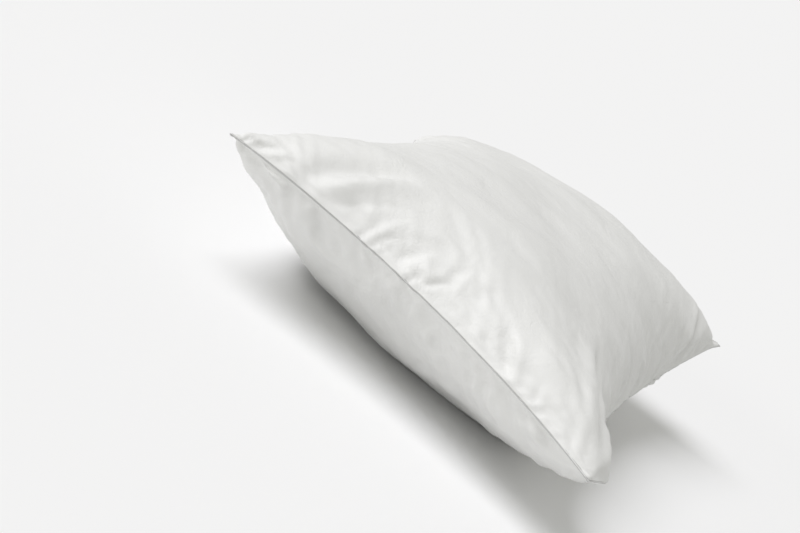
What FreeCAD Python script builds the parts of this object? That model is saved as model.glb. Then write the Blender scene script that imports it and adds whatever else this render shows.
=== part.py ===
"""Bed pillow in an envelope pillowcase, lying flat, in millimetres.

X runs along the pillow's length from the case's closed end (-X) to its open end (+X), Y runs across it and
Z is up. The origin is on the floor below the middle of the case. Each cloth piece is a thin shell between
two crowned surfaces, so the pieces nest: case, tuck flap, inner pillow shell, fibre fill.
"""
import FreeCAD
import Part
import math
import os

# Pillowcase at its seam line, as it stands when filled
half_length = 340.0      # middle to the corner tips, along X
half_width = 240.0       # middle to the corner tips, along Y
end_bow = 22.0           # how far the middle of each short edge is pulled in
side_bow = 35.0          # how far the middle of each long edge is pulled in

# Heights above the floor
seam_middle = 69.0       # seam surface at the very middle
end_lift = 40.0          # how much higher the seam stands at the corners
end_arch = 13.0          # how much higher the middle of the end seams stands than their corners
side_lift = 1.0          # how much higher the long seams stand at their middle
seam_twist = -20.0       # one diagonal pair of corners up and the other down, by this much
crown_height = 189.0     # top of the crown
floor_press = 16.0       # how far the underside would bulge below the floor if nothing pressed on it

# Roundness of the two sides along X and along Y: 0 gives a parabola, near 1 a box
top_fullness = (0.76, 0.62)
underside_fullness = (0.52, 0.70)

# Cloth
case_cloth = 0.6         # wall of the pillowcase
shell_cloth = 0.6        # wall of the inner pillow's downproof shell
wall_spread = 1.2        # a wall's width in plan, where the crown runs down steeply to the seam
fold_gap = 0.1           # free space between a crowned wall and its seam allowance, at the fold
fold_overlap = 0.3       # how far the tool that opens a panel between its allowances reaches into its hollow
layer_gap = 0.6          # free space between nested layers
fill_rim = 4.0           # thickness of the fill along its edge
side_gap = 0.4           # free space beside a piece that lies inside a seam allowance
case_allowance = 10.0    # turned-in seam allowance of the case
shell_allowance = 8.0    # turned-in seam allowance of the inner shell
case_ease = 3.0          # how loosely the case lies over the inner pillow's crown
open_end_slack = 34.0    # empty cloth between the inner pillow and the case's open end

# Envelope opening at the +X end
opening_hem = 16.0       # turned-in hem along both edges of the opening
flap_length = 150.0      # tuck flap, from the open end inwards
flap_hem = 12.0          # double layer along the flap's free edge
flap_seam_start = 5.0    # from the open end to the flap's sewn edge
flap_seam_side = 12.0    # from the long edges to the ends of the flap's sewn edge

# Piping round the inner pillow
piping = 3.0             # thickness of the corded edge

# Sewing thread and labels
thread = 0.5             # thickness of a thread run
thread_width = 0.7       # width of a thread run
case_needle_line = 6.5   # from the case's edge to its seam stitching
shell_needle_line = 6.5  # from the inner shell's edge to its seam stitching
flap_needle_line = 8.0   # from the open end to the stitching that holds the flap
hem_line = 2.0           # from a hem's inner fold to its stitching
tack_length = 12.0       # bar tack at each end of the opening
tack_width = 2.0
case_label = (18.0, 34.0)      # along X, across the case
pillow_label = (24.0, 30.0)    # out from the inner pillow's edge, along that edge
pillow_label_middle = 75.0     # Y of the inner pillow's label
label_cloth = 0.5
label_hold = 2.0               # how far a label reaches onto what it is sewn to
closing_length = 180.0   # length of the inner shell's filling opening, sewn shut last
closing_line = 2.0       # from the inner pillow's edge to the closing stitches
closing_stitch = 4.0     # length of one closing stitch
closing_pitch = 9.0      # from one closing stitch to the next

# Grid of the crowned surfaces, and the height of the tool solids that trim them
grid_u = 19
grid_v = 15
edge_angle = 80          # a larger angle packs the grid's lines closer at the edges
tool_height = 600.0

up = FreeCAD.Vector(0, 0, tool_height)
down = FreeCAD.Vector(0, 0, -tool_height)


def seam_height(x, y):
    """Height of the seam surface, which every layer shares."""
    along = x / half_length
    across = y / half_width
    side = side_lift * across ** 2 * (1 - along ** 2)
    end = (end_lift + end_arch * (1 - across ** 2)) * along ** 2
    return seam_middle + end + side + seam_twist * along * across


def swell(s, fullness):
    """Crown profile from 1 at the middle to 0 at the edge, steeper at the edge as fullness grows."""
    return (1 - s * s) / (1 - fullness * s * s)


class Outline:
    """Plan of one layer: the case's outline with each edge moved in by its own inset."""

    def __init__(self, closed, side, opened):
        self.closed = closed
        self.side = side
        self.opened = opened
        self.centre = (closed - opened) / 2
        self.a = half_length - (closed + opened) / 2
        self.b = half_width - side

    def at(self, u, v):
        """Plan point for u along the length and v across, both from -1 to 1."""
        x = self.centre + u * (self.a - end_bow * (1 - v * v))
        y = v * (self.b - side_bow * (1 - u * u))
        return x, y

    def inside(self, distance):
        """The same outline moved in by one more distance all round."""
        return Outline(self.closed + distance, self.side + distance, self.opened + distance)


def surface(outline, height):
    """B-spline face over an outline, where height(x, y, u, v) gives z."""
    reach = math.sin(math.radians(edge_angle))
    rows = []
    for i in range(grid_u):
        u = math.sin(math.radians(edge_angle * (2 * i / (grid_u - 1) - 1))) / reach
        row = []
        for j in range(grid_v):
            v = math.sin(math.radians(edge_angle * (2 * j / (grid_v - 1) - 1))) / reach
            x, y = outline.at(u, v)
            row.append(FreeCAD.Vector(x, y, height(x, y, u, v)))
        rows.append(row)
    patch = Part.BSplineSurface()
    patch.interpolate(rows)
    return patch.toShape()


def crowned(outline, edge, middle):
    """Face that leaves the seam surface at edge above it and is highest, or lowest, at the height middle."""
    rise = middle - seam_middle - edge
    full_x, full_y = top_fullness if rise > 0 else underside_fullness

    def height(x, y, u, v):
        return seam_height(x, y) + edge + rise * swell(u, full_x) * swell(v, full_y)

    return surface(outline, height)


def closed_form(outline, edge, middle, base):
    """Solid between a crowned face and the seam surface moved up by base, over one outline."""
    curved = crowned(outline, edge, middle)
    flat = surface(outline, lambda x, y, u, v: seam_height(x, y) + base)
    rims = [Part.makeRuledSurface(one, other) for one, other in zip(curved.Edges, flat.Edges)]
    skin = Part.makeCompound([curved, flat] + rims)
    skin.sewShape()
    solid = Part.makeSolid(skin.Shells[0])
    if solid.Volume < 0:
        solid.reverse()
    return solid


def seam_face(offset):
    """The seam surface, moved up by offset and reaching past the case on every side."""
    return surface(Outline(-30, -30 - side_bow, -30), lambda x, y, u, v: seam_height(x, y) + offset)


def level_above(z):
    """Everything above a level plane."""
    reach = 4 * half_length
    return Part.makeBox(reach, reach, tool_height, FreeCAD.Vector(-reach / 2, -reach / 2, z))


def box(x_low, x_high, y_low, y_high):
    """A block on plan, through every height."""
    corner = FreeCAD.Vector(x_low, y_low, -tool_height)
    return Part.makeBox(x_high - x_low, y_high - y_low, 2 * tool_height, corner)


def prism(outline):
    """Everything inside an outline, above and below."""
    return surface(outline, lambda x, y, u, v: -tool_height / 2).extrude(up)


def band(low, high):
    """Layer that follows the seam surface, from low to high above it."""
    return seam_face(low).extrude(up).common(seam_face(high).extrude(down))


def window(outline, base, side):
    """Tool that opens a panel's seam side within its allowances; side is 1 for an upper panel, -1 for a lower."""
    depth = 20.0
    start = surface(outline, lambda x, y, u, v: seam_height(x, y) - side * depth)
    return start.extrude(FreeCAD.Vector(0, 0, side * (depth + base + fold_overlap)))


def upper_panel(outline, allowance, top, cloth):
    """Crowned cloth panel whose edges turn in along the seam surface: two layers of cloth at the fold."""
    body = closed_form(outline, 2 * cloth, top, 0)
    hollow = closed_form(outline.inside(wall_spread), cloth + fold_gap, top - cloth, cloth)
    return body.cut(hollow).cut(window(allowance, cloth, 1))


def lower_panel(outline, allowance, lowest, floor, cloth):
    """Underside cloth panel, made like the upper one and flat where it lies on the layer below."""
    body = closed_form(outline, -2 * cloth, lowest, 0).common(level_above(floor))
    hollow = closed_form(outline.inside(wall_spread), -cloth - fold_gap, lowest + cloth, -cloth)
    hollow = hollow.common(level_above(floor + cloth))
    return body.cut(hollow).cut(window(allowance, cloth, -1))


def inside_skin(outline, lowest, floor):
    """Everything above a face that follows the underside."""
    return crowned(outline, 0, lowest).extrude(up).common(level_above(floor))


def ring(outer, inner, low, high):
    """Closed band between two outlines, from low to high above the seam surface."""
    return band(low, high).common(prism(outer)).cut(prism(inner))


def end_strip(near, far, side, low, high):
    """Band along the open end, from near to far inside it and ending side inside the long edges."""
    whole = ring(Outline(side, side, near), Outline(0, side - 1, far), low, high)
    return whole.common(box(0, 2 * half_length, -half_length, half_length))


def save(name, shape):
    """Checks one node's solids and writes them to parts/NAME.step."""
    solids = [s for s in shape.Solids if s.Volume > 0.2]
    node = solids[0] if len(solids) == 1 else Part.makeCompound(solids)
    if not solids or not node.isValid():
        raise ValueError(name + " is not a set of valid solids")
    node.exportStep("parts/" + name + ".step")
    size = node.optimalBoundingBox(False)
    print("%-26s %3d solids %10.0f mm3  x %7.1f..%6.1f  y %7.1f..%6.1f  z %6.1f..%6.1f" % (
        name, len(solids), node.Volume, size.XMin, size.XMax, size.YMin, size.YMax, size.ZMin, size.ZMax))


def case_panels():
    """The two panels of the case, which meet at the seam surface."""
    allowance = Outline(case_allowance, case_allowance, opening_hem)
    save("case_top_panel", upper_panel(case_edge, allowance, crown_height, case_cloth))
    save("case_bottom_panel", lower_panel(case_edge, allowance, -floor_press, 0, case_cloth))


def tuck_flap():
    """Flap sewn inside the opening: a sewn edge on the top panel's hem, then down and under the pillow."""
    far = 2 * half_length
    hem_end = flap_end + flap_hem
    lowest = case_cloth + layer_gap - floor_press
    lining = flap_edge.inside(wall_spread)
    flap = inside_skin(flap_edge, lowest, flap_floor).common(box(flap_end, far, -half_length, half_length))
    flap = flap.common(seam_face(2 * case_cloth).extrude(down))
    single = inside_skin(lining, lowest + case_cloth, flap_floor + case_cloth)
    flap = flap.cut(single.common(box(hem_end, far, -half_length, half_length)))
    double = inside_skin(lining, lowest + 2 * case_cloth, flap_floor + 2 * case_cloth)
    flap = flap.cut(double.common(box(0, hem_end, -half_length, half_length)))
    turn = opening_hem + side_gap + wall_spread / 2
    flap = flap.fuse(end_strip(flap_seam_start, turn, flap_seam_side, case_cloth, 2 * case_cloth))
    half = case_label[0] / 2 + side_gap
    notch = box(label_middle - half, label_middle + half, half_width - case_allowance - case_label[1], half_width)
    flap = flap.cut(seam_face(case_cloth).extrude(up).common(notch))
    save("case_tuck_flap", flap)
    line = inside_skin(lining, lowest + 2 * case_cloth, flap_floor + 2 * case_cloth)
    over = inside_skin(lining.inside(wall_spread), lowest + 2 * case_cloth + thread, pillow_floor)
    low = hem_end - hem_line - thread_width
    line = line.common(box(low, low + thread_width, -half_length, half_length)).cut(over)
    save("case_flap_hem_thread", line.common(seam_face(-thread_width).extrude(down)))


def case_threads():
    """Stitching of the case: three closed sides, the opening's hem, the flap's sewn edge, the bar tacks."""
    outer = Outline(case_needle_line, case_needle_line, case_needle_line)
    inner = outer.inside(thread_width)
    closed_sides = box(-2 * half_length, open_end - case_needle_line - thread_width, -half_length, half_length)
    needle = ring(outer, inner, case_cloth, case_cloth + thread).common(closed_sides)
    bobbin = ring(outer, inner, -case_cloth - thread, -case_cloth).common(closed_sides)
    save("case_seam_thread", Part.makeCompound(needle.Solids + bobbin.Solids))
    hem_stitch = opening_hem - hem_line
    hem = end_strip(hem_stitch - thread_width, hem_stitch, flap_seam_side, -case_cloth - thread, -case_cloth)
    save("case_hem_thread", hem)
    side = flap_seam_side + hem_line
    low = 2 * case_cloth
    save("case_flap_seam_thread", end_strip(flap_needle_line - thread_width, flap_needle_line, side,
                                            low, low + thread))
    tack_start = flap_needle_line + thread_width
    tack = end_strip(tack_start, tack_start + tack_width, side, low, low + thread)
    tack_end = half_width - side - tack_length
    save("case_bar_tacks", tack.cut(box(0, 2 * half_length, -tack_end, tack_end)))


def pillow_shells():
    """Downproof cover of the inner pillow, its corded edge and its stitching."""
    allowance = pillow_edge.inside(shell_allowance)
    save("pillow_top_shell", upper_panel(pillow_edge, allowance, pillow_top, shell_cloth))
    lowest = pillow_floor - floor_press
    save("pillow_bottom_shell", lower_panel(pillow_edge, allowance, lowest, pillow_floor, shell_cloth))
    save("pillow_edge_piping", ring(piping_edge, pillow_edge, -piping / 2, piping / 2))
    line = pillow_edge.inside(shell_needle_line)
    needle = ring(line, line.inside(thread_width), shell_cloth, shell_cloth + thread)
    bobbin = ring(line, line.inside(thread_width), -shell_cloth - thread, -shell_cloth)
    save("pillow_seam_thread", Part.makeCompound(needle.Solids + bobbin.Solids))


def closing_stitches():
    """Short stitches that close the inner shell's filling opening, lying on its upper panel."""
    skin = crowned(pillow_edge, 2 * shell_cloth, pillow_top).extrude(down)
    raised = crowned(pillow_edge, 2 * shell_cloth + thread, pillow_top + thread).extrude(down)
    line = pillow_edge.inside(closing_line)
    near = box(-2 * half_length, line.at(-1, 0)[0] + 5, -closing_length / 2, closing_length / 2)
    band_on_skin = raised.common(near).cut(skin)
    row = band_on_skin.common(prism(line)).cut(prism(line.inside(thread_width)))
    stitches = []
    count = int(closing_length / closing_pitch)
    for i in range(count):
        y = (i - (count - 1) / 2) * closing_pitch
        stitches += row.common(box(-2 * half_length, 0, y - closing_stitch / 2, y + closing_stitch / 2)).Solids
    save("pillow_closing_thread", Part.makeCompound(stitches))


def labels():
    """Care labels: the case's on its side seam near the opening, the pillow's on its corded edge."""
    on_case = band(case_cloth, case_cloth + label_cloth)
    held = Outline(case_allowance - label_hold, case_allowance - label_hold, 0)
    inner_end = half_width - case_allowance - case_label[1]
    half = case_label[0] / 2
    tab = on_case.common(prism(held))
    save("case_care_label", tab.common(box(label_middle - half, label_middle + half, inner_end, half_width)))
    on_piping = band(piping / 2, piping / 2 + label_cloth)
    start = piping_edge.inside(label_hold)
    out = Outline(0, 0, start.opened - pillow_label[0])
    half = pillow_label[1] / 2
    tab = on_piping.common(prism(out)).cut(prism(start))
    low = pillow_label_middle - half
    save("pillow_care_label", tab.common(box(0, half_length, low, low + pillow_label[1])))


def fill():
    """Fibre fill, a plain closed form inside the inner shell."""
    edge = pillow_edge.inside(shell_allowance + layer_gap)
    top = closed_form(edge, fill_rim / 2, pillow_top - shell_cloth - layer_gap, 0)
    lowest = pillow_floor + shell_cloth + layer_gap - floor_press
    under = closed_form(edge, -fill_rim / 2, lowest, 0).common(level_above(pillow_floor + shell_cloth))
    save("pillow_fibre_fill", top.fuse(under))


os.makedirs("parts", exist_ok=True)

open_end = half_length - end_bow
case_edge = Outline(0, 0, 0)
flap_edge = Outline(case_allowance + side_gap, case_allowance + side_gap, opening_hem + side_gap)
flap_floor = case_cloth
around_flap = case_allowance + side_gap + wall_spread + side_gap
piping_edge = Outline(around_flap, around_flap, around_flap + open_end_slack)
pillow_edge = piping_edge.inside(piping)
label_middle = half_length - (opening_hem + piping_edge.opened) / 2
flap_end = open_end - flap_length
pillow_floor = flap_floor + 2 * case_cloth + thread
pillow_top = crown_height - case_cloth - case_ease

case_panels()
tuck_flap()
case_threads()
pillow_shells()
closing_stitches()
labels()
fill()
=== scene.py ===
import math
import bpy
import numpy as np
from mathutils import Matrix, Vector


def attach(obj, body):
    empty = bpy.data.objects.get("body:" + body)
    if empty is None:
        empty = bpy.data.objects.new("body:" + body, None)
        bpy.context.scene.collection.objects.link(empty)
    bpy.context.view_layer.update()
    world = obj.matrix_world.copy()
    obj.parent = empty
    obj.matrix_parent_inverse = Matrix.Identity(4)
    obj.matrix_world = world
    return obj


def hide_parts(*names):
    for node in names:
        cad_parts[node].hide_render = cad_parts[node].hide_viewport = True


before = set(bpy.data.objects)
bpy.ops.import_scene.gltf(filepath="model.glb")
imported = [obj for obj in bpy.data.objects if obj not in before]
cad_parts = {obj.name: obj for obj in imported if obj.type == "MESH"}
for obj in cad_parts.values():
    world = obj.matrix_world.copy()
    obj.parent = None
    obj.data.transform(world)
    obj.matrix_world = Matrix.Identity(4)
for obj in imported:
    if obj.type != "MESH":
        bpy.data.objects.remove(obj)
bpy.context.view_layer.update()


# the case at rest, in metres
seam = {
    "halfLength": 0.340,     # middle to the corner tips, along X
    "halfWidth": 0.240,      # middle to the corner tips, along Y
    "endBow": 0.022,         # pull-in of the short edges at their middle
    "sideBow": 0.035,        # pull-in of the long edges at their middle
    "middleHeight": 0.069,   # seam surface at the very middle, above the floor
    "endLift": 0.040,        # how much higher the seam stands at the ends
    "sideLift": -0.003,      # how much higher the long seams stand at their middle
    "twist": -0.020,         # one diagonal pair of corners up, the other down
    "endArch": 0.013,        # how much higher the middle of the end seams stands than their corners
}
crown = {
    "top": 0.186,            # height of the crown
    "press": 0.016,          # how far the underside would bulge below the floor if nothing pressed on it
    # roundness towards the closed end, open end, -Y side and +Y side: 0 a parabola, near 1 a box
    "above": ((0.60, 0.72), (0.64, 0.76)),
    "below": ((0.47, 0.52), (0.70, 0.80)),
    "drop": 0.22,            # how much flatter the shoulder towards +X +Y is
}
cloth = {
    "cut": (0.705, 0.515),   # flat size of each panel of the case
    "step": 0.0062,          # grid of the simulation
    "frames": 20,
    "pressure": 5.0,
    "reach": 0.005,          # how far the simulation may carry a point from where it starts
    "broad": 0.15,           # share of the simulation's broad movement that is kept; its wrinkles stay whole
    "thickness": 0.0006,
}
halfCut = (cloth["cut"][0] / 2, cloth["cut"][1] / 2)


# pull-in of the edges: x = u(a - bow(1 - v^2)), y = v(b - bow(1 - u^2))
def casePlan(u, v):
    x = u * (seam["halfLength"] - seam["endBow"] * (1 - v**2))
    y = v * (seam["halfWidth"] - seam["sideBow"] * (1 - u**2))
    return x, y


# saddle of the seam: lift along X squared, arched at the ends, lift along Y squared between them, and a twist
def seamHeight(x, y):
    along, across = x / seam["halfLength"], y / seam["halfWidth"]
    side = seam["sideLift"] * across**2 * (1 - along**2)
    end = (seam["endLift"] + seam["endArch"] * (1 - across**2)) * along**2
    return seam["middleHeight"] + end + side + seam["twist"] * along * across


# crown profile, 1 in the middle and 0 at the edge, with its own roundness on the low and the high side
def swell(s, fullness):
    return (1 - s**2) / (1 - np.where(s < 0, *fullness) * s**2)


def smoothStep(x):
    x = np.clip(x, 0, 1)
    return x * x * (3 - 2 * x)


# share of the cloth from middle to edge, turned into a share of the plan by the arc that it runs along
def clothToPlan(half, bow, rise, fullness, s):
    t = np.linspace(-1, 1, 801)
    arc = np.concatenate([[0], np.cumsum(np.hypot(np.diff(t * (half - bow)), np.diff(rise * swell(t, fullness))))])
    arc = arc - arc[400]
    return np.interp(s, arc / np.where(t < 0, -arc[0], arc[-1]), t)


# one side of the case before the simulation: seam surface plus rise times swell(u) swell(v), flat on the floor
def startShape(u, v, side):
    rise = crown["top"] - seam["middleHeight"] if side > 0 else -seam["middleHeight"] - crown["press"]
    fullU, fullV = crown["above"] if side > 0 else crown["below"]
    pu = u + (clothToPlan(seam["halfLength"], seam["endBow"], rise, fullU, u) - u) * swell(v, fullV)
    pv = v + (clothToPlan(seam["halfWidth"], seam["sideBow"], rise, fullV, v) - v) * swell(u, fullU)
    x, y = casePlan(pu, pv)
    low = 1 - (crown["drop"] if side > 0 else 0) * smoothStep(pu) * smoothStep(pv)
    z = seamHeight(x, y) + rise * swell(pu, fullU) * swell(pv, fullV) * low
    return np.stack([x, y, np.maximum(z, 0)], -1)


def gridQuads(index):
    a, b, c, d = index[:-1, :-1], index[1:, :-1], index[1:, 1:], index[:-1, 1:]
    return np.stack([a, b, c, d], -1).reshape(-1, 4)


def newMesh(name, points, quads):
    mesh = bpy.data.meshes.new(name)
    mesh.vertices.add(len(points))
    mesh.vertices.foreach_set("co", np.asarray(points, np.float32).ravel())
    mesh.loops.add(quads.size)
    mesh.loops.foreach_set("vertex_index", quads.ravel().astype(np.int32))
    mesh.polygons.add(len(quads))
    mesh.polygons.foreach_set("loop_start", np.arange(0, quads.size, 4, dtype=np.int32))
    mesh.update(calc_edges=True)
    mesh.polygons.foreach_set("use_smooth", np.ones(len(quads), bool))
    piece = bpy.data.objects.new(name, mesh)
    bpy.context.scene.collection.objects.link(piece)
    return piece


# a net's values averaged over the neighbourhood again and again, with mirrored borders
def broadPart(values, times=60):
    for _ in range(times):
        p = np.pad(values, ((1, 1), (1, 1), (0, 0)), mode="reflect")
        values = (p[:-2, 1:-1] + p[2:, 1:-1] + p[1:-1, :-2] + p[1:-1, 2:] + 2 * values) / 6
    return values


# the two panels sewn at the edge as one bag, blown up a little from the start shape; the flat cut is its rest size
def inflateCase():
    length, width = cloth["cut"]
    nu, nv = int(round(length / cloth["step"])) + 1, int(round(width / cloth["step"])) + 1
    u, v = np.meshgrid(np.linspace(-1, 1, nu), np.linspace(-1, 1, nv), indexing="ij")
    top, bottom = startShape(u, v, 1), startShape(u, v, -1)
    bottom[[0, -1]], bottom[:, [0, -1]] = top[[0, -1]], top[:, [0, -1]]
    topIndex = np.arange(nu * nv).reshape(nu, nv)
    bottomIndex = topIndex.copy()
    bottomIndex[1:-1, 1:-1] = nu * nv + np.arange((nu - 2) * (nv - 2)).reshape(nu - 2, nv - 2)
    start = np.concatenate([top.reshape(-1, 3), bottom[1:-1, 1:-1].reshape(-1, 3)])
    flat = np.stack([u * length / 2, v * width / 2, u * 0], -1)
    flat = np.concatenate([flat.reshape(-1, 3), flat[1:-1, 1:-1].reshape(-1, 3)])
    bag = newMesh("bag", start, np.concatenate([gridQuads(topIndex), gridQuads(bottomIndex)[:, ::-1]]))
    bag.shape_key_add(name="start")
    cut = bag.shape_key_add(name="cut")
    cut.data.foreach_set("co", flat.astype(np.float32).ravel())
    modifier = bag.modifiers.new("cloth", "CLOTH")
    s = modifier.settings
    s.rest_shape_key = cut
    s.quality = 7
    s.mass = 0.06
    s.tension_stiffness = s.compression_stiffness = 80
    s.shear_stiffness = 20
    s.bending_stiffness = 0.15
    s.tension_damping = s.compression_damping = s.shear_damping = 20
    s.bending_damping = 0.5
    s.air_damping = 3
    s.effector_weights.gravity = 0
    s.use_pressure = True
    s.uniform_pressure_force = cloth["pressure"]
    modifier.collision_settings.use_collision = False
    modifier.point_cache.frame_start, modifier.point_cache.frame_end = 1, cloth["frames"]
    for f in range(1, cloth["frames"] + 1):
        bpy.context.scene.frame_set(f)
    shaped = bag.evaluated_get(bpy.context.evaluated_depsgraph_get()).to_mesh()
    end = np.empty(len(start) * 3, np.float32)
    shaped.vertices.foreach_get("co", end)
    end = end.reshape(-1, 3).astype(float)
    bpy.data.objects.remove(bag)
    nets = []
    for index in (topIndex, bottomIndex):
        move = (end - start)[index]
        wide = broadPart(move)
        fine = move - wide
        far = np.linalg.norm(fine, axis=-1, keepdims=True)
        print("wrinkles up to", far.max().round(4), "mean", far.mean().round(5),
              "broad", np.abs(wide).mean().round(4))
        away = np.minimum((1 - np.abs(u)) * length, (1 - np.abs(v)) * width)[..., None] / 2
        fine = fine * (cloth["reach"] * np.tanh(far / cloth["reach"]) / np.maximum(far, 1e-9))
        fine = fine * (1 - 0.72 * smoothStep(away / 0.10))
        net = start[index] + fine + cloth["broad"] * wide
        net[..., 2] = np.maximum(net[..., 2], 0)
        nets.append(net)
    return nets


topNet, bottomNet = inflateCase()
bottomNet[[0, -1]], bottomNet[:, [0, -1]] = topNet[[0, -1]], topNet[:, [0, -1]]
print("case simulated on", topNet.shape[:2], "points a side")


# cubic curve through the grid lines, read at u along one axis
def readAlong(net, u, axis):
    t = (np.clip(u, -1, 1) + 1) / 2 * (net.shape[axis] - 1)
    i = np.clip(np.floor(t).astype(int), 0, net.shape[axis] - 2)
    f = (t - i)[:, None, None]
    net = np.moveaxis(net, axis, 0)
    longer = np.concatenate([2 * net[:1] - net[1:2], net, 2 * net[-1:] - net[-2:-1]])
    p0, p1, p2, p3 = longer[i], longer[i + 1], longer[i + 2], longer[i + 3]
    out = p1 + 0.5 * f * (p2 - p0 + f * (2 * p0 - 5 * p1 + 4 * p2 - p3 + f * (3 * (p1 - p2) + p3 - p0)))
    return np.moveaxis(out, 0, axis)


def readNet(net, u, v):
    return readAlong(readAlong(net, u, 0), v, 1)


def normalsOf(points):
    n = np.cross(np.gradient(points, axis=0), np.gradient(points, axis=1))
    return n / np.maximum(np.linalg.norm(n, axis=-1, keepdims=True), 1e-12)


# grid lines edgeStep apart at the edge, growing to an even wide step inside
def gridLines(count, half, edgeStep, zone=0.03):
    s = np.linspace(0, 1, 2001)
    low, high = edgeStep, half
    for _ in range(40):
        wide = (low + high) / 2
        step = edgeStep + (wide - edgeStep) * smoothStep((1 - s) * half / zone - 0.3)
        lines = np.concatenate([[0], np.cumsum(half / 2000 / step[1:])])
        low, high = (wide, high) if lines[-1] > count / 2 else (low, wide)
    place = np.interp(np.linspace(0, lines[-1], count // 2 + 1), lines, s)
    return np.concatenate([-place[::-1], place[1:]])


# flat empty corners: tip, how far from it the cloth lies together, where it is full, how far it is tucked back
ears = {
    "tips": (
        (-1, 1, 0.001, 0.020, 0.001), (-1, -1, 0.010, 0.055, 0.005),
        (1, -1, 0.006, 0.040, 0.001), (1, 1, 0.014, 0.060, 0.012),
    ),
    "flare": (-1, -1, 0.075, 0.048, 0.024),   # corner, where along its side seam, how wide, how far out
    "slackEnd": 0.040,       # empty cloth between the inner pillow and the opening
    "blunt": 0.010,          # radius over which a tip is tucked back
}


# how far apart the panels stand, from 0 where they lie together to 1
def openness(u, v):
    full = 0.25 + 0.75 * smoothStep((1 - u) * halfCut[0] / ears["slackEnd"])
    for tipU, tipV, near, far, _ in ears["tips"]:
        away = np.hypot((u - tipU) * halfCut[0], (v - tipV) * halfCut[1])
        full = full * smoothStep((away - near) / (far - near))
    return full


# sideways shift of one ear's cloth: a bump along the side seam that fades out inwards
def flareOut(u, v):
    tipU, tipV, place, width, out = ears["flare"]
    along, inwards = np.abs(u - tipU) * halfCut[0], np.abs(v - tipV) * halfCut[1]
    bump = np.exp(-((along - place) / width) ** 2) * np.exp(-(inwards / 0.06) ** 2)
    return tipV * out * smoothStep(along / 0.03) * bump


# smooth sides of the case and the surface midway between them, at any rows u and columns v
def caseSurfaces(u, v):
    top, bottom = readNet(topNet, u, v), readNet(bottomNet, u, v)
    middle = (top + bottom) / 2
    full = openness(*np.meshgrid(u, v, indexing="ij"))[..., None]
    top, bottom = middle + (top - middle) * full, middle + (bottom - middle) * full
    gu, gv = np.meshgrid(u, v, indexing="ij")
    out = flareOut(gu, gv)
    tuck = 0
    for tipU, tipV, _, _, depth in ears["tips"]:
        away = np.hypot((gu - tipU) * halfCut[0], (gv - tipV) * halfCut[1])
        tuck = tuck + depth * np.exp(-(away / ears["blunt"]) ** 2)
    for face in (top, bottom, middle):
        face[..., 0] -= np.sign(gu) * tuck
        face[..., 1] += out - np.sign(gv) * tuck
    bottom[..., 2] = np.maximum(bottom[..., 2], 0)
    return top, bottom, middle


# random smooth line: waves of falling strength with random phases, about 1 high
def wavyLine(x, lengths, seed):
    r = np.random.default_rng(seed)
    total = 0
    for length in lengths:
        total = total + np.sin(2 * np.pi * (x / length + r.random())) * (0.6 + 0.8 * r.random())
    return total / math.sqrt(len(lengths))


puckers = {
    "height": 0.0016,        # how far the cloth is drawn in by the seam
    "reach": 0.015,          # how far from the seam the puckers run
    "lengths": (0.0095, 0.013, 0.017, 0.023, 0.031),
    "slant": 0.5,
}


# puckers: waves along each edge, strong only in places, that die out away from the seam
def puckerHeight(u, v):
    total = 0
    edges = ((u, v, 0, -1), (u, v, 0, 1), (v, u, 1, -1), (v, u, 1, 1))
    for number, (along, across, axis, end) in enumerate(edges):
        away = (1 - end * across) * halfCut[1 - axis]
        run = along * halfCut[axis] + puckers["slant"] * away
        strength = smoothStep(0.45 + 0.6 * wavyLine(run, (0.11, 0.17, 0.29), 40 + number))
        waves = wavyLine(run, puckers["lengths"], 20 + number)
        fade = np.exp(-away / puckers["reach"]) * (1 - np.exp(-away / 0.002))
        total = total + waves * strength * fade
    return puckers["height"] * total


folds = (  # side, from (u, v), to (u, v), half width, depth: soft creases drawn across a panel
    (1, (-0.985, 0.67), (-0.60, 0.27), 0.016, 0.0100),      # long one beside the first corner
    (1, (-0.995, 0.90), (-0.89, 0.73), 0.008, 0.0032),
    (1, (-0.985, 0.34), (-0.84, 0.24), 0.007, 0.0024),      # short ones that leave the end seam
    (1, (-0.985, 0.17), (-0.82, 0.06), 0.008, 0.0026),
    (1, (-0.985, 0.03), (-0.86, -0.08), 0.006, 0.0020),
    (1, (-0.995, -0.46), (-0.84, -0.30), 0.009, 0.0036),
    (1, (-0.995, -0.62), (-0.90, -0.55), 0.006, 0.0018),
    (1, (-0.40, -0.60), (-0.960, -0.915), 0.019, 0.0080),   # run down into the second corner
    (1, (-0.50, -0.78), (-0.90, -0.985), 0.009, 0.0030),
    (1, (0.84, -0.72), (0.56, -0.965), 0.012, 0.0050),      # cuts off the far corner
    (1, (0.20, -0.96), (0.10, -0.78), 0.010, 0.0022),
    (1, (-0.12, -0.96), (-0.16, -0.82), 0.009, 0.0020),
    (-1, (-0.985, 0.20), (-0.86, 0.26), 0.008, 0.0022),
    (-1, (-0.985, -0.10), (-0.84, -0.04), 0.009, 0.0022),
    (-1, (-0.985, -0.36), (-0.86, -0.33), 0.007, 0.0018),
)
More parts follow.
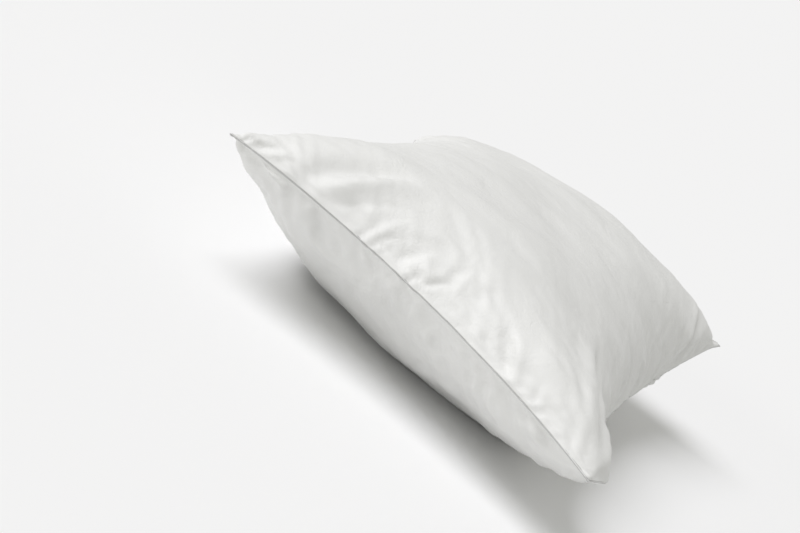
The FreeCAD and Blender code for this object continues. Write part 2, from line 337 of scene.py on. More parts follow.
# side, (u, v), radius, height: small bulges and hollows that the end seam holds
puffs = (
    (1, (-0.982, 0.70), 0.010, 0.0028), (1, (-0.985, -0.49), 0.008, 0.0030),
    (1, (-0.988, -0.55), 0.006, 0.0020), (1, (-0.987, -0.61), 0.007, 0.0022),
    (1, (-0.988, -0.68), 0.006, 0.0016), (1, (-0.988, -0.74), 0.007, 0.0018),
    (-1, (-0.92, 0.85), 0.026, 0.0036), (-1, (-0.975, 0.77), 0.010, 0.0039),
    (-1, (-0.955, 0.70), 0.011, 0.0045), (-1, (-0.935, 0.60), 0.013, 0.0045),
    (-1, (-0.952, 0.52), 0.011, 0.0036), (-1, (-0.962, 0.43), 0.011, 0.0030),
    (-1, (-0.925, 0.66), 0.010, -0.0033), (-1, (-0.930, 0.46), 0.014, -0.0030),
    (-1, (-0.970, -0.48), 0.008, -0.0042), (-1, (-0.962, -0.54), 0.008, 0.0033),
    (-1, (-0.955, -0.60), 0.009, -0.0036), (-1, (-0.952, -0.67), 0.010, 0.0033),
    (-1, (-0.935, -0.75), 0.012, -0.0030),
)


# creases: a dip beside a low ridge, along a straight run, strongest in its middle
def foldHeight(u, v, side):
    x, y = u * halfCut[0], v * halfCut[1]
    total = 0 * x
    for foldSide, start, end, width, depth in folds:
        if foldSide != side:
            continue
        x0, y0, x1, y1 = start[0] * halfCut[0], start[1] * halfCut[1], end[0] * halfCut[0], end[1] * halfCut[1]
        long = math.hypot(x1 - x0, y1 - y0)
        along = ((x - x0) * (x1 - x0) + (y - y0) * (y1 - y0)) / long
        across = ((y - y0) * (x1 - x0) - (x - x0) * (y1 - y0)) / long
        run = smoothStep(along / long / 0.3) * smoothStep((1 - along / long) / 0.5)
        near = across / width * np.where(across < 0, 1.7, 1)
        dip = np.exp(-near**2) - 0.5 * np.exp(-((near + 2.0) / 1.1) ** 2)
        total = total - depth * run * dip
    for puffSide, (pu, pv), radius, height in puffs:
        if puffSide == side:
            away = np.hypot(x - pu * halfCut[0], y - pv * halfCut[1])
            total = total + height * np.exp(-(away / radius) ** 2)
    return total * smoothStep((1 - np.abs(u)) * halfCut[0] / 0.004) * smoothStep((1 - np.abs(v)) * halfCut[1] / 0.004)


looks = {
    "roll": 0.0010,          # radius of the cloth's turn into the seam
    "swellHeight": 0.0009, "swellLengths": (0.06, 0.09, 0.14, 0.2),
    "crumple": (0.0008, 0.0014),   # above and below
    "crumpleLengths": (0.019, 0.026, 0.037, 0.052), "crumpleReach": 0.09,
}


# broad soft unevenness of the fill under the cloth
def lumpHeight(u, v, side):
    x, y = u * halfCut[0], v * halfCut[1]
    r = np.random.default_rng(11 + side)
    total = 0 * x
    for length in looks["swellLengths"]:
        for turn in r.random(3) * math.pi:
            phase = (x * math.cos(turn) + y * math.sin(turn)) / length + r.random()
            total = total + length * np.sin(2 * np.pi * phase)
    away = np.minimum((1 - np.abs(u)) * halfCut[0], (1 - np.abs(v)) * halfCut[1])
    crumple = 0 * x
    for length in looks["crumpleLengths"]:
        for turn in r.random(3) * math.pi:
            bend = 0.25 * np.sin(2 * np.pi * (x - y) / 0.13 + turn)
            phase = (x * math.cos(turn) + y * math.sin(turn)) / length + bend
            crumple = crumple + np.sin(2 * np.pi * (phase + r.random()))
    strength = looks["crumple"][0 if side > 0 else 1]
    near = 0.12 + 0.88 * np.exp(-(away / looks["crumpleReach"]) ** 2)
    crumple = strength * crumple / 3 * smoothStep(away / 0.012) * near
    return looks["swellHeight"] * total / 0.2 * smoothStep(away / 0.05) + crumple


# outer face of a panel: smooth side, rolled over into the seam, with puckers, creases and lumps along its normal
def panelFace(u, v, side):
    top, bottom, middle = caseSurfaces(u, v)
    face = top if side > 0 else bottom
    normal = normalsOf(face) * side
    gu, gv = np.meshgrid(u, v, indexing="ij")
    away = np.minimum((1 - np.abs(gu)) * halfCut[0], (1 - np.abs(gv)) * halfCut[1])
    rolled = looks["roll"] * np.sqrt(1 - (1 - np.clip(away / looks["roll"], 0, 1)) ** 2)
    detail = puckerHeight(gu, gv) + foldHeight(gu, gv, side) + lumpHeight(gu, gv, side)
    detail = detail * (0.15 + 0.85 * openness(gu, gv))
    face = face + normal * (rolled + detail)[..., None]
    if side < 0:
        pressed = smoothStep(1 - bottom[..., 2] / 0.004)
        face[..., 2] = np.maximum(face[..., 2] * (1 - pressed), 0)
    return face, normal


def rim(grid):
    return np.concatenate([grid[:, 0], grid[-1, 1:], grid[-2::-1, -1], grid[0, -2:0:-1]])


# one closed cloth: an outer grid, loops round its edge, and an inner grid of the same size
def closedCloth(name, outer, loops, inner, side, uv=None):
    ni, nj = outer.shape[:2]
    index = np.arange(ni * nj).reshape(ni, nj)
    ring = rim(index)
    count = len(ring)
    chain = [ring] + [ni * nj + k * count + np.arange(count) for k in range(len(loops))]
    innerIndex = index + ni * nj + len(loops) * count
    chain.append(rim(innerIndex))
    quads = [gridQuads(index), gridQuads(innerIndex)[:, ::-1]]
    for a, b in zip(chain[:-1], chain[1:]):
        quads.append(np.stack([np.roll(a, -1), a, b, np.roll(b, -1)], -1))
    quads = np.concatenate(quads)
    if side < 0:
        quads = quads[:, ::-1]
    points = np.concatenate([outer.reshape(-1, 3)] + list(loops) + [inner.reshape(-1, 3)])
    piece = newMesh(name, points, quads)
    if uv is not None:
        flat = np.concatenate([uv.reshape(-1, 2), np.tile(rim(uv), (len(loops), 1)), uv.reshape(-1, 2)])
        layer = piece.data.uv_layers.new(name="cloth")
        layer.data.foreach_set("uv", flat[quads.ravel()].astype(np.float32).ravel())
    return piece


# a loop at one distance inside the edge, on the surface midway between the panels, lifted by height
def insideLoop(distance, height, uLines, vLines):
    u, v = uLines * (1 - distance / halfCut[0]), vLines * (1 - distance / halfCut[1])
    middle = caseSurfaces(u, v)[2]
    return rim(middle + normalsOf(middle) * height)


def flatUv(u, v):
    return np.stack(np.meshgrid(u * halfCut[0], v * halfCut[1], indexing="ij"), -1)


def casePanel(name, side):
    u, v = gridLines(236, halfCut[0], 0.0006), gridLines(184, halfCut[1], 0.0006)
    outer, normal = panelFace(u, v, side)
    inner = outer - normal * cloth["thickness"]
    thick = cloth["thickness"]
    near, far = 0.0005 * side, (0.0005 + thick) * side
    loops = [insideLoop(0.010, near, u, v), insideLoop(0.010, far, u, v), insideLoop(0.0022, far, u, v)]
    ring = rim(np.arange(inner.shape[0] * inner.shape[1]).reshape(inner.shape[:2]))
    flatInner = inner.reshape(-1, 3)
    flatInner[ring] = insideLoop(0.0016, far * 1.3, u, v)
    return closedCloth(name, outer, loops, flatInner.reshape(inner.shape), side, flatUv(u, v))


casePieces = [casePanel("case_top", 1), casePanel("case_bottom", -1)]
print("case panels", [len(p.data.polygons) for p in casePieces])

inner = {  # the pillow inside the case
    "closed": 0.015, "side": 0.016, "opened": 0.050,   # from the case's edges to its own, along the cloth
    "depth": 0.0032,         # below the case's face
    "edgeRound": 0.014,      # how far in its rounded edge reaches
    "piping": 0.0016,        # radius of the corded edge
}


# rows and columns of the inner pillow as shares of the case's cloth
def innerLines(u, v, more=0.0):
    low = -1 + (inner["closed"] + more) / halfCut[0]
    high = 1 - (inner["opened"] + more) / halfCut[0]
    return (low + high) / 2 + u * (high - low) / 2, v * (1 - (inner["side"] + more) / halfCut[1])


# a layer under the case's face: the case's side moved inwards by depth, rounded down to its own edge
def innerFace(u, v, side, depth, more=0.0):
    gu, gv = innerLines(u, v, more)
    top, bottom, middle = caseSurfaces(gu, gv)
    face = top if side > 0 else bottom
    normal = normalsOf(face) * side
    au = np.minimum(gu - gu[0], gu[-1] - gu) * halfCut[0]
    av = (gv[-1] - np.abs(gv)) * halfCut[1]
    round_ = [np.sqrt(1 - (1 - np.clip(a / inner["edgeRound"], 0, 1)) ** 2) for a in (au, av)]
    share = (round_[0][:, None] * round_[1][None, :])[..., None]
    wide = np.meshgrid(gu, gv, indexing="ij")
    dips = np.clip(-foldHeight(*wide, side) - lumpHeight(*wide, side), 0, None)[..., None]
    level = middle + (face - normal * (depth + dips) - middle) * share
    return level, normal, middle


def shellPanel(name, side):
    u, v = gridLines(150, halfCut[0], 0.0012), gridLines(116, halfCut[1], 0.0012)
    outer, normal, middle = innerFace(u, v, side, inner["depth"])
    gu, gv = np.meshgrid(u, v, indexing="ij")
    away = np.minimum((1 - np.abs(gu)) * 0.3, (1 - np.abs(gv)) * 0.23)
    quilt = 0.0006 * wavyLine(gu * 0.3 + 0.3 * gv, (0.011, 0.016, 0.027), 61) * np.exp(-away / 0.02)
    outer = outer - normal * np.abs(quilt)[..., None] * smoothStep(away / 0.004)[..., None]
    inside = innerFace(u * 0.998, v * 0.998, side, inner["depth"] + 0.0007)[0]
    return closedCloth(name, outer, [], inside, side, flatUv(u, v))


shellPieces = [shellPanel("pillow_top", 1), shellPanel("pillow_bottom", -1)]


def fillPiece():
    u, v = gridLines(130, halfCut[0], 0.004), gridLines(100, halfCut[1], 0.004)
    top = innerFace(u, v, 1, inner["depth"] + 0.0022, 0.010)[0]
    bottom = innerFace(u, v, -1, inner["depth"] + 0.0022, 0.010)[0]
    gu, gv = np.meshgrid(u, v, indexing="ij")
    clumps = wavyLine(gu * 0.3 + 0.1 * gv, (0.012, 0.019, 0.031), 71) * wavyLine(gv * 0.23, (0.014, 0.021), 72)
    tufts = 0.0008 * (1 + clumps)
    top = top - normalsOf(top) * tufts[..., None]
    bottom = bottom + normalsOf(bottom) * tufts[..., None]
    rimIndex = rim(np.arange(top.shape[0] * top.shape[1]).reshape(top.shape[:2]))
    flatTop, flatBottom = top.reshape(-1, 3), bottom.reshape(-1, 3)
    flatTop[rimIndex, 2] += 0.001
    flatBottom[rimIndex, 2] -= 0.001
    return closedCloth("fibre_fill", top, [], bottom, 1, flatUv(u, v))


fill = fillPiece()


# a round cord along a closed or open line of points
def tubeAlong(name, line, radius, sides, closed=True):
    step = np.roll(line, -1, 0) - np.roll(line, 1, 0) if closed else np.gradient(line, axis=0)
    tangent = step / np.linalg.norm(step, axis=1, keepdims=True)
    side = np.cross(tangent, (0, 0, 1))
    side /= np.linalg.norm(side, axis=1, keepdims=True)
    over = np.cross(side, tangent)
    turn = np.arange(sides) * 2 * np.pi / sides
    circle = np.cos(turn)[None, :, None] * side[:, None] + np.sin(turn)[None, :, None] * over[:, None]
    points = line[:, None] + radius * circle
    index = np.arange(len(line) * sides).reshape(len(line), sides)
    index = np.concatenate([index, index[:, :1]], 1)
    if closed:
        index = np.concatenate([index, index[:1]])
    return newMesh(name, points.reshape(-1, 3), gridQuads(index)[:, ::-1])


# evenly spaced points along a closed line
def evenPoints(line, count, closed=True):
    if closed:
        line = np.concatenate([line, line[:1]])
    along = np.concatenate([[0], np.cumsum(np.linalg.norm(np.diff(line, axis=0), axis=1))])
    at = np.linspace(0, along[-1], count + closed)[: count]
    return np.stack([np.interp(at, along, line[:, k]) for k in range(3)], 1)


def innerEdgeLine(more, uCount=300, vCount=220):
    u, v = innerLines(np.linspace(-1, 1, uCount), np.linspace(-1, 1, vCount), more)
    return rim(caseSurfaces(u, v)[2])


piping = tubeAlong("pillow_piping", evenPoints(innerEdgeLine(-0.0008), 700), inner["piping"], 10)


# stitches: short bowed threads along a line, each one dipping into the cloth at both ends
def stitchRow(name, line, normal, pitch, share, radius, width=0.0):
    along = np.concatenate([[0], np.cumsum(np.linalg.norm(np.diff(line, axis=0), axis=1))])
    at = np.arange(pitch / 2, along[-1] - pitch / 2, pitch)
    read = lambda table, where: np.stack([np.interp(where, along, table[:, k]) for k in range(3)], -1)
    t = np.linspace(-1, 1, 6)
    middle = read(line, at[:, None] + t[None, :] * pitch * share / 2)
    over = read(normal, at)[:, None, :]
    over = over / np.linalg.norm(over, axis=-1, keepdims=True)
    middle = middle + over * (radius * (0.7 - 1.1 * t**2))[None, :, None]
    tangent = np.gradient(middle, axis=1)
    tangent /= np.linalg.norm(tangent, axis=-1, keepdims=True)
    side = np.cross(tangent, over)
    if width:
        middle = middle + side * (width * np.where(np.arange(len(at)) % 2, 1, -1)[:, None] * t[None, :])[..., None]
    turn = np.arange(6) * np.pi / 3
    thick = (radius * np.sqrt(1 - 0.8 * t**4))[None, :, None, None]
    circle = np.cos(turn)[:, None] * side[:, :, None] + np.sin(turn)[:, None] * over[:, :, None]
    points = middle[:, :, None] + thick * circle
    ring = np.concatenate([np.arange(36).reshape(6, 6), np.arange(36).reshape(6, 6)[:, :1]], 1)
    one = gridQuads(ring)[:, ::-1]
    ends = np.array([[0, 1, 2, 3], [0, 3, 4, 5], [33, 32, 31, 30], [35, 34, 33, 30]])
    quads = np.concatenate([one, ends])
    quads = (quads[None] + 36 * np.arange(len(at))[:, None, None]).reshape(-1, 4)
    return newMesh(name, points.reshape(-1, 3), quads)


# part of a closed loop inside the case's edge, with the surface's normal, from one share of it to another
def seamLine(distance, height, keep):
    u = np.linspace(-1, 1, 400) * (1 - distance / halfCut[0])
    v = np.linspace(-1, 1, 300) * (1 - distance / halfCut[1])
    middle = caseSurfaces(u, v)[2]
    normal = normalsOf(middle)
    gu, gv = np.meshgrid(u, v, indexing="ij")
    chosen = keep(rim(gu), rim(gv))
    line, over = rim(middle), rim(normal)
    first = int(np.argmax(chosen & ~np.roll(chosen, 1)))
    order = (first + np.arange(chosen.sum())) % len(chosen)
    return line[order] + over[order] * height, over[order] * np.sign(height)


def joinPieces(name, pieces):
    points, quads, count = [], [], 0
    for piece in pieces:
        mesh = piece.data
        co = np.empty(len(mesh.vertices) * 3, np.float32)
        mesh.vertices.foreach_get("co", co)
        index = np.empty(len(mesh.loops), np.int32)
        mesh.loops.foreach_get("vertex_index", index)
        points.append(co.reshape(-1, 3))
        quads.append(index.reshape(-1, 4) + count)
        count += len(mesh.vertices)
        bpy.data.objects.remove(piece)
    return newMesh(name, np.concatenate(points), np.concatenate(quads))


sewing = {"pitch": 0.0027, "share": 0.8, "radius": 0.00022, "line": 0.0065}
allowanceFace = 0.0005 + cloth["thickness"]
closedSides = lambda u, v: u < 1 - 0.030 / halfCut[0]
openEnd = lambda u, v: u > np.max(u) - 1e-6


def sewn(name, distance, height, keep, pitch=None, radius=None, width=0.0):
    line, over = seamLine(distance, height, keep)
    return stitchRow(name, line, over, pitch or sewing["pitch"], sewing["share"], radius or sewing["radius"], width)


seamThread = joinPieces("case_seam_stitches", [sewn("a", sewing["line"], allowanceFace, closedSides),
                                               sewn("b", sewing["line"], -allowanceFace, closedSides)])
hemThread = sewn("case_hem_stitches", 0.0085, -allowanceFace, openEnd)
flapSeamThread = sewn("flap_seam_stitches", 0.0068, allowanceFace + 0.0007, openEnd)
tackEnd = 1 - 0.026 / halfCut[1]
tackEnds = (lambda u, v: openEnd(u, v) & (v < -tackEnd), lambda u, v: openEnd(u, v) & (v > tackEnd))
tacks = joinPieces("case_tacks", [   # two zigzag rows at each end
    sewn("t", 0.0082 + 0.0011 * k, allowanceFace + 0.0009, end, 0.0006, 0.00025, 0.0009)
    for k in range(2) for end in tackEnds])
shellLine = evenPoints(innerEdgeLine(0.0062), 1500)
shellUp = np.tile((0.0, 0.0, 1.0), (len(shellLine), 1))
shellThread = stitchRow("pillow_seam_stitches", shellLine, shellUp, 0.0030, 0.8, 0.0002)


tuckFlap = {
    "length": 0.150,         # from the open end inwards
    "atSeam": 0.004,         # where it leaves the end seam
    "sideGap": 0.011,        # from the case's long edges
    "under": 0.0011,         # depth below the case's face
    "hem": 0.012,            # double layer along the free edge
}


# the flap: the underside's cloth moved inwards a little, wavy, drawn up to the seam at its end
def flapPiece():
    u = np.linspace(1 - tuckFlap["length"] / halfCut[0], 1 - tuckFlap["atSeam"] / halfCut[0], 90)
    v = np.linspace(-1, 1, 130) * (1 - tuckFlap["sideGap"] / halfCut[1])
    bottom = caseSurfaces(u, v)[1]
    middle = caseSurfaces(u, v)[2]
    normal = -normalsOf(bottom)
    gu, gv = np.meshgrid(u, v, indexing="ij")
    wave = 0.0003 * (1 + wavyLine(gv * halfCut[1], (0.02, 0.034), 81))
    deep = tuckFlap["under"] + wave * smoothStep((1 - gu) * halfCut[0] / 0.03)
    face = bottom - normal * deep[..., None]
    edge = smoothStep((1 - np.abs(gu)) * halfCut[0] / 0.014)[..., None]
    face = face * edge + (middle + (0, 0, 0.0001)) * (1 - edge)
    hemStart = tuckFlap["length"] - tuckFlap["hem"]
    hem = cloth["thickness"] * (1 + smoothStep((hemStart - (1 - gu) * halfCut[0]) * -4000))
    inside = face - normal * hem[..., None]
    return closedCloth("case_flap", face, [], inside, -1, np.stack([gu * halfCut[0], gv * halfCut[1]], -1))


flap = flapPiece()


# the hem's stitches: a row across the flap 10 mm from its free edge
def flapHemStitches():
    row = 1 - (tuckFlap["length"] - 0.010) / halfCut[0]
    u = np.array([row - 0.002, row, row + 0.002])
    v = np.linspace(-0.95, 0.95, 500)
    bottom = caseSurfaces(u, v)[1]
    normal = normalsOf(bottom)
    line = bottom[1] + normal[1] * (tuckFlap["under"] + 2 * cloth["thickness"] + 0.0004)
    return stitchRow("flap_hem_stitches", line, normal[1], 0.0028, 0.75, 0.00022)


flapHemThread = flapHemStitches()


# wide stitches over the middle of the inner pillow's closed end
def closingStitches():
    line = innerEdgeLine(0.0022)
    chosen = np.flatnonzero((np.abs(line[:, 1]) < 0.09) & (line[:, 0] < 0))
    line = line[chosen]
    line = line[np.argsort(line[:, 1])]
    line = line + np.array([0, 0, 0.0020])
    return stitchRow("pillow_closing_stitches", line, np.tile((-0.5, 0, 0.8), (len(line), 1)), 0.0045, 0.7, 0.0003)


closingThread = closingStitches()


# a woven label: a small rectangle that leaves its seam level and droops
def label(name, origin, out, across, size):
    s, t = np.meshgrid(np.linspace(0, 1, 24), np.linspace(-0.5, 0.5, 16), indexing="ij")
    origin, out, across = (np.array(a, float) for a in (origin, out, across))
    up = np.cross(out, across)
    up *= np.sign(up[2])
    bend = -0.10 * size[0] * s**2 + 0.0006 * np.sin(7 * s + 4 * t)
    face = origin + out * (s * size[0])[..., None] + across * (t * size[1])[..., None] + up * bend[..., None]
    side = 1 if np.dot(np.cross(out, across), up) > 0 else -1
    uv = np.stack([s * size[0], t * size[1]], -1)
    return closedCloth(name, face + up * 0.0004, [], face, side, uv)


labels = {"case": (0.034, 0.018), "pillow": (0.024, 0.030)}   # flat sizes: out from the seam, along it


# a point of the surface midway between the panels
def edgePoint(u, v):
    middle = caseSurfaces(np.array([u - 0.01, u, u + 0.01]), np.array([v - 0.01, v, v + 0.01]))[2]
    return middle[1, 1]


caseLabel = label("case_label", edgePoint(1 - 0.034 / halfCut[0], 1 - 0.008 / halfCut[1]) + (0, 0, 0.0022),
                  (0, -1, 0), (1, 0, 0), labels["case"])
pillowLabel = label("pillow_label", edgePoint(1 - 0.053 / halfCut[0], 0.31) + (0, 0, 0.0022),
                    (1, 0, 0), (0, 1, 0), labels["pillow"])
print("inside pieces made")


# a node with its inputs, each a value or a socket to link, and its settings
def place(tree, kind, inputs, **settings):
    made = tree.nodes.new(kind)
    for key, value in settings.items():
        setattr(made, key, value)
    for key, value in inputs.items():
        if isinstance(value, bpy.types.NodeSocket):
            tree.links.new(value, made.inputs[key])
        else:
            made.inputs[key].default_value = value
    return made


def reckon(tree, operation, *values):
    return place(tree, "ShaderNodeMath", dict(enumerate(values)), operation=operation).outputs[0]


def vectorMath(tree, operation, inputs):
    return place(tree, "ShaderNodeVectorMath", inputs, operation=operation).outputs[0]


# noise of a point; output 0 is its value, 1 its colour
def noise(tree, vector, scale, detail, output=0, **more):
    inputs = {"Vector": vector, "Scale": scale, "Detail": detail, **more}
    return place(tree, "ShaderNodeTexNoise", inputs).outputs[output]


def newGroup(name, inputs, outputs):
    tree = bpy.data.node_groups.new(name, "ShaderNodeTree")
    for label, value in inputs.items():
        kind = "NodeSocketVector" if value is None else "NodeSocketFloat"
        socket = tree.interface.new_socket(label, in_out="INPUT", socket_type=kind)
        if value is not None:
            socket.default_value = value
    for label in outputs:
        tree.interface.new_socket(label, in_out="OUTPUT", socket_type="NodeSocketFloat")
    return tree, tree.nodes.new("NodeGroupInput").outputs, tree.nodes.new("NodeGroupOutput")


# woven threads: round warp threads that dip under one weft thread in every "Float", moved by "Step" a row
def weaveGroup():
    tree, given, result = newGroup("weave", {"Vector": None, "Threads": 2400, "Float": 5, "Step": 2}, ("Height",))
    scaled = vectorMath(tree, "SCALE", {0: given["Vector"], 3: given["Threads"]})
    axes = place(tree, "ShaderNodeSeparateXYZ", {0: scaled}).outputs
    turns = [reckon(tree, "MULTIPLY", axes[k], math.pi) for k in (0, 1)]
    warp, weft = (reckon(tree, "ABSOLUTE", reckon(tree, "SINE", turn)) for turn in turns)
    cellX, cellY = (reckon(tree, "FLOOR", axes[k]) for k in (0, 1))
    order = reckon(tree, "MULTIPLY_ADD", cellX, given["Step"], cellY)
    under = reckon(tree, "LESS_THAN", reckon(tree, "FLOORED_MODULO", order, given["Float"]), 0.5)
    low = reckon(tree, "MULTIPLY", weft, 0.55)
    height = place(tree, "ShaderNodeMix", {0: under, 2: warp, 3: low}, data_type="FLOAT").outputs[0]
    tree.links.new(height, result.inputs["Height"])
    return tree


# handling creases: broad soft ones, and finer ones that show only in places
def creaseGroup():
    tree, given, result = newGroup("creases", {"Vector": None, "Broad": 28, "Fine": 110}, ("Height", "Tone"))
    broad = noise(tree, given["Vector"], given["Broad"], 2, Distortion=0.6)
    fine = noise(tree, given["Vector"], given["Fine"], 3, Distortion=1.1)
    where = noise(tree, given["Vector"], 7, 1)
    patches = place(tree, "ShaderNodeMapRange", {0: where, 1: 0.42, 2: 0.68, 3: 0.15, 4: 1.0}).outputs[0]
    ridge = reckon(tree, "ABSOLUTE", reckon(tree, "SUBTRACT", fine, 0.5))
    height = reckon(tree, "MULTIPLY_ADD", reckon(tree, "MULTIPLY", ridge, patches), -0.7, broad)
    tree.links.new(height, result.inputs["Height"])
    broadTone = reckon(tree, "MULTIPLY", broad, 0.03)
    tone = reckon(tree, "MULTIPLY_ADD", reckon(tree, "SUBTRACT", where, 0.5), 0.12, broadTone)
    tree.links.new(tone, result.inputs["Tone"])
    return tree


# thin uneven fibres: noise drawn out along one direction and bent by a slower noise
def fibreGroup():
    tree, given, result = newGroup("fibres", {"Vector": None, "Across": 900, "Along": 60}, ("Height",))
    slow = noise(tree, given["Vector"], 25, 2, output=1)
    bent = vectorMath(tree, "MULTIPLY_ADD", {0: slow, 1: (0.03, 0.03, 0.03), 2: given["Vector"]})
    drawn = place(tree, "ShaderNodeCombineXYZ", {0: given["Along"], 1: given["Across"], 2: given["Across"]}).outputs[0]
    stretched = vectorMath(tree, "MULTIPLY", {0: bent, 1: drawn})
    hair = noise(tree, stretched, 1, 4, Roughness=0.7)
    tree.links.new(hair, result.inputs["Height"])
    return tree


# painted shade: a fine dark line where a panel turns into its seam, standing in for the shade in the crease between
# the two cloths; 1 at the edge of the flat cut, 0 from "Width" inwards
def paintedSeamShadeGroup():
    sizes = {"Vector": None, "HalfLength": 0.35, "HalfWidth": 0.25, "Width": 0.0012}
    tree, given, result = newGroup("painted seam shade", sizes, ("Shade",))
    axes = place(tree, "ShaderNodeSeparateXYZ", {0: given["Vector"]}).outputs
    ends = reckon(tree, "SUBTRACT", given["HalfLength"], reckon(tree, "ABSOLUTE", axes[0]))
    sides = reckon(tree, "SUBTRACT", given["HalfWidth"], reckon(tree, "ABSOLUTE", axes[1]))
    away = reckon(tree, "MINIMUM", ends, sides)
    shade = place(tree, "ShaderNodeMapRange", {0: away, 1: 0.0, 2: given["Width"], 3: 1.0, 4: 0.0}).outputs[0]
    tree.links.new(shade, result.inputs["Shade"])
    return tree


groups = {"weave": weaveGroup(), "creases": creaseGroup(), "fibres": fibreGroup(), "seam": paintedSeamShadeGroup()}


def placeGroup(tree, name, inputs):
    return place(tree, "ShaderNodeGroup", inputs, node_tree=groups[name]).outputs


# one output less its middle, times a strength: a tone around zero
def toneOf(tree, value, middle, strength):
    return reckon(tree, "MULTIPLY", reckon(tree, "SUBTRACT", value, middle), strength)


def newMaterial(name, look):
    material = bpy.data.materials.new(name)
    material.use_nodes = True
    shader = material.node_tree.nodes["Principled BSDF"]
    shader.inputs["Specular IOR Level"].default_value = look["specular"]
    shader.inputs["Sheen Weight"].default_value = look["sheen"]
    shader.inputs["Sheen Roughness"].default_value = look["sheenRoughness"]
    return material, material.node_tree, shader


# bumps of several heights, each in metres, one after the other
def bumpChain(tree, shader, heights):
    normal = None
    for height, depth in heights:
        bump = place(tree, "ShaderNodeBump", {"Strength": 1.0, "Distance": depth, "Height": height})
        if normal is not None:
            tree.links.new(normal, bump.inputs["Normal"])
        normal = bump.outputs[0]
    tree.links.new(normal, shader.inputs["Normal"])


# base colour made a little lighter or darker by a tone around zero
def tonedColour(tree, shader, colour, tone):
    factor = reckon(tree, "ADD", tone, 1.0)
    tree.links.new(vectorMath(tree, "SCALE", {0: colour, 3: factor}), shader.inputs["Base Color"])


# woven cotton that follows the flat cut of its piece, so that the threads run with the cloth
def wovenMaterial(name, look):
    material, tree, shader = newMaterial(name, look)
    flat = place(tree, "ShaderNodeUVMap", {}, uv_map="cloth").outputs[0]
    threads = {"Vector": flat, "Threads": look["threads"], "Float": look["float"], "Step": look["step"]}
    weave = placeGroup(tree, "weave", threads)
    creases = placeGroup(tree, "creases", {"Vector": flat, "Broad": look["broad"], "Fine": look["fine"]})
    slubs = placeGroup(tree, "fibres", {"Vector": flat, "Across": 1300, "Along": 45})
    slubTone = toneOf(tree, slubs["Height"], 0.5, look["slub"])
    weaveTone = toneOf(tree, weave["Height"], 0.7, 0.04)
    tone = reckon(tree, "ADD", reckon(tree, "ADD", creases["Tone"], slubTone), weaveTone)
    edges = {"Vector": flat, "HalfLength": halfCut[0], "HalfWidth": halfCut[1]}
    # painted shade along the seam: the colour is darkened near the edge of the flat cut, in place of the shade in the
    # seam's crease
    tone = reckon(tree, "MULTIPLY_ADD", placeGroup(tree, "seam", edges)["Shade"], -look["seamPaintedShade"], tone)
    tonedColour(tree, shader, look["colour"], tone)
    roughness = reckon(tree, "MULTIPLY_ADD", weave["Height"], -0.08, look["roughness"])
    tree.links.new(roughness, shader.inputs["Roughness"])
    bumpChain(tree, shader, ((creases["Height"], look["creaseDepth"]), (weave["Height"], look["threadDepth"])))
    return material


# cord and stitches: fine fibres laid along the thread
def threadMaterial(name, look):
    material, tree, shader = newMaterial(name, look)
    at = place(tree, "ShaderNodeTexCoord", {}).outputs["Object"]
    fibres = placeGroup(tree, "fibres", {"Vector": at, "Across": 2600, "Along": 2000})
    tonedColour(tree, shader, look["colour"], toneOf(tree, fibres["Height"], 0.5, 0.16))
    roughness = reckon(tree, "MULTIPLY_ADD", fibres["Height"], 0.2, look["roughness"] - 0.1)
    tree.links.new(roughness, shader.inputs["Roughness"])
    bumpChain(tree, shader, ((fibres["Height"], look["threadDepth"]),))
    return material


# loose polyester fibre: long fine strands in clumps
def fillMaterial(name, look):
    material, tree, shader = newMaterial(name, look)
    at = place(tree, "ShaderNodeTexCoord", {}).outputs["Object"]
    strands = placeGroup(tree, "fibres", {"Vector": at, "Across": 700, "Along": 50})
    creases = placeGroup(tree, "creases", {"Vector": at, "Broad": 45, "Fine": 160})
    tone = reckon(tree, "MULTIPLY_ADD", reckon(tree, "SUBTRACT", strands["Height"], 0.5), 0.25, creases["Tone"])
    tonedColour(tree, shader, look["colour"], tone)
    roughness = reckon(tree, "MULTIPLY_ADD", strands["Height"], 0.15, look["roughness"] - 0.1)
    tree.links.new(roughness, shader.inputs["Roughness"])
    bumpChain(tree, shader, ((creases["Height"], 0.0012), (strands["Height"], 0.0004)))
    return material


caseCotton = {   # smooth sateen
    "colour": (0.770, 0.770, 0.752), "roughness": 0.62, "specular": 0.35, "sheen": 0.22, "sheenRoughness": 0.45,
    "threads": 3200, "float": 5, "step": 2, "threadDepth": 0.00002,
    # the last entry on the next line is the strength of the painted shade along the seam
    "broad": 26, "fine": 95, "creaseDepth": 0.0018, "slub": 0.03, "seamPaintedShade": 0.35,
}
shellCotton = dict(caseCotton, colour=(0.80, 0.80, 0.785), roughness=0.75, sheen=0.1, threads=2600, float=2, step=1,
                   threadDepth=0.00004, broad=40, fine=150, slub=0.06)
fibre = {"colour": (0.86, 0.86, 0.86), "roughness": 0.9, "specular": 0.2, "sheen": 0.5, "sheenRoughness": 0.6}
sewingThread = {
    "colour": (0.80, 0.80, 0.785), "roughness": 0.55, "specular": 0.4, "sheen": 0.2, "sheenRoughness": 0.4,
    "threadDepth": 0.00006,
}
satin = dict(caseCotton, colour=(0.84, 0.84, 0.84), roughness=0.38, specular=0.5, sheen=0.1, threads=4200, float=8,
             step=3, creaseDepth=0.0002, slub=0.02)
finishes = {
    "case_cotton": wovenMaterial("case cotton sateen", caseCotton),
    "shell_cotton": wovenMaterial("shell cotton", shellCotton),
    "fibre_fill": fillMaterial("fibre fill", fibre),
    "sewing_thread": threadMaterial("sewing thread", sewingThread),
    "label_satin": wovenMaterial("label satin", satin),
}
pipingFinish = threadMaterial("piping cotton", dict(sewingThread, roughness=0.7, threadDepth=0.00008))
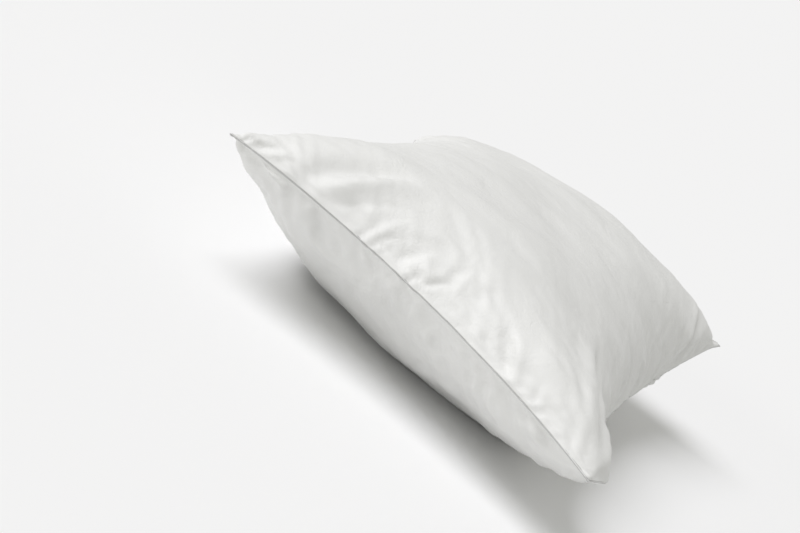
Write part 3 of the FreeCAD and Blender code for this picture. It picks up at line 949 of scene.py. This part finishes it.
pieces = (
    (casePieces[0], "case_top_panel", "case_cotton"),
    (casePieces[1], "case_bottom_panel", "case_cotton"),
    (flap, "case_tuck_flap", "case_cotton"),
    (seamThread, "case_seam_thread", "sewing_thread"),
    (hemThread, "case_hem_thread", "sewing_thread"),
    (flapSeamThread, "case_flap_seam_thread", "sewing_thread"),
    (flapHemThread, "case_flap_hem_thread", "sewing_thread"),
    (tacks, "case_bar_tacks", "sewing_thread"),
    (caseLabel, "case_care_label", "label_satin"),
    (shellPieces[0], "pillow_top_shell", "shell_cotton"),
    (shellPieces[1], "pillow_bottom_shell", "shell_cotton"),
    (piping, "pillow_edge_piping", "shell_cotton"),
    (shellThread, "pillow_seam_thread", "sewing_thread"),
    (closingThread, "pillow_closing_thread", "sewing_thread"),
    (pillowLabel, "pillow_care_label", "label_satin"),
    (fill, "pillow_fibre_fill", "fibre_fill"),
)
for piece, node, slot in pieces:
    piece.data.materials.append(pipingFinish if piece is piping else finishes[slot])
    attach(piece, "root")
    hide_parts(node)
print("materials made")

# camera, floor and light
view = {
    "azimuth": -79.7, "elevation": 15.6, "roll": 36.9, "distance": 2.070,
    "aim": (-0.0870, 0.0300),     # right and up from the middle of the seam surface
    "focalShare": 2.331,   # focal length over the frame's width
}
azimuth, elevation, roll = (math.radians(view[k]) for k in ("azimuth", "elevation", "roll"))
back = Vector((math.sin(azimuth) * math.cos(elevation), -math.cos(azimuth) * math.cos(elevation),
               math.sin(elevation)))
level = Vector((0, 0, 1)).cross(back).normalized()
upright = back.cross(level)
right = math.cos(roll) * level + math.sin(roll) * upright
up = math.cos(roll) * upright - math.sin(roll) * level
aim = Vector((0, 0, seam["middleHeight"])) + view["aim"][0] * right + view["aim"][1] * up
cameraData = bpy.data.cameras.new("camera")
cameraData.sensor_width = 36
cameraData.lens = 36 * view["focalShare"]
camera = bpy.data.objects.new("camera", cameraData)
stand = Matrix((right, up, back)).transposed().to_4x4()
stand.translation = aim + back * view["distance"]
camera.matrix_world = stand
bpy.context.scene.collection.objects.link(camera)
bpy.context.scene.camera = camera

studio = {
    "floorHalf": 30, "floorShade": 0.92,
    "skyColour": (1, 1, 0.955), "skyStrength": 0.46,
    # name, where from, angle in degrees, energy, colour
    "lamps": (("key", (-0.36, 0.62, 1), 40, 1.97, (0.967, 0.963, 1.0)),
              ("low fill", (-1, 0.75, 0.28), 14, 0.30, (1, 1, 1))),
}
half = studio["floorHalf"]
corners = np.array([(-half, -half, 0), (half, -half, 0), (half, half, 0), (-half, half, 0)], float)
floor = newMesh("floor", corners, np.array([[0, 1, 2, 3]]))
floorPaint = bpy.data.materials.new("pale floor")
floorPaint.use_nodes = True
paint = floorPaint.node_tree.nodes["Principled BSDF"].inputs
paint["Base Color"].default_value = (*[studio["floorShade"]] * 3, 1)
paint["Roughness"].default_value = 1
paint["Specular IOR Level"].default_value = 0
floor.data.materials.append(floorPaint)

world = bpy.data.worlds.new("studio")
world.use_nodes = True
sky = world.node_tree.nodes["Background"].inputs
sky["Color"].default_value = (*studio["skyColour"], 1)
sky["Strength"].default_value = studio["skyStrength"]
bpy.context.scene.world = world
bpy.context.scene.view_settings.view_transform = "Standard"

for name, source, angle, energy, colour in studio["lamps"]:
    lampData = bpy.data.lights.new(name, "SUN")
    lampData.angle = math.radians(angle)
    lampData.energy = energy
    lampData.color = colour
    lamp = bpy.data.objects.new(name, lampData)
    lamp.rotation_euler = (-Vector(source).normalized()).to_track_quat("-Z", "Y").to_euler()
    bpy.context.scene.collection.objects.link(lamp)
print("camera, floor and light made")
